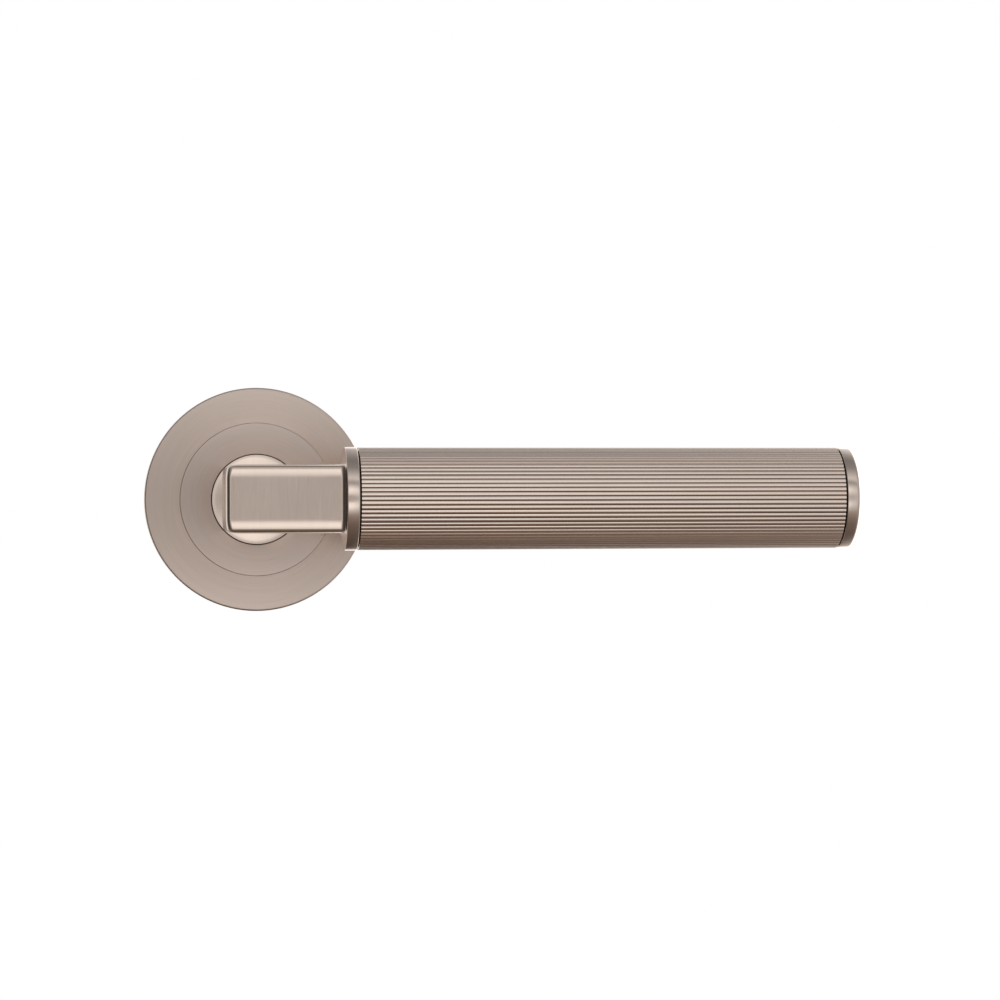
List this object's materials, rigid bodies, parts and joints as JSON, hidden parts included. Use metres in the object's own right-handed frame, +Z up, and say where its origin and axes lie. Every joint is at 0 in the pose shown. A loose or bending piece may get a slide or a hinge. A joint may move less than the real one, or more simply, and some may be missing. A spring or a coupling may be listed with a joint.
{
  "type": "door lever handle",
  "caption": "Lever door handle on a round sprung rose: squared neck, reeded cylindrical grip with a plain end cap, square spindle and through bolts.",
  "frame": {"origin": "on the spindle's axis, in the plane of the door's face that the rose sits on", "axes": "+Y into the door along the spindle, +X along the lever towards its end cap, +Z up; the handle stands in front of the door at -Y"},
  "size_m": [0.153, 0.1181, 0.05],
  "materials": {
    "satin_nickel": "warm satin nickel, brushed, reflective",
    "cast_zinc": "as-cast zinc alloy, dull grey",
    "zinc_plated_steel": "bright zinc plated steel",
    "spring_steel": "blackened spring steel",
    "black_nylon": "black bearing nylon, matt",
    "black_rubber": "matt black rubber"
  },
  "bodies": {
    "root": {"base_plate": "cast_zinc", "outer_rose": "satin_nickel", "inner_rose": "satin_nickel", "cover_ring": "black_rubber", "back_cover": "zinc_plated_steel", "cover_screws": "zinc_plated_steel", "through_bolts": "zinc_plated_steel", "wood_screws": "zinc_plated_steel", "bush": "black_nylon", "return_spring": "spring_steel"},
    "lever": {"neck": "satin_nickel", "spindle": "zinc_plated_steel", "grub_screw": "spring_steel", "drive_cam": "spring_steel", "thrust_washer": "black_nylon", "circlip": "spring_steel", "locating_pin": "zinc_plated_steel", "seam_washers": "black_rubber", "grip_sleeve": "satin_nickel", "tie_rod": "zinc_plated_steel", "end_plug": "zinc_plated_steel", "spring_washer": "spring_steel", "tie_nut": "zinc_plated_steel", "end_cap": "satin_nickel"}
  },
  "joints": [
    {"name": "lever_turn", "type": "hinge", "parent": "root", "child": "lever", "pos_m": [0, 0, 0], "axis": [0, 1, 0], "range_deg": [0, 45], "stiffness_Nm_per_rad": 0.2, "springref_deg": -91.67, "deforming": ["return_spring"]}
  ]
}
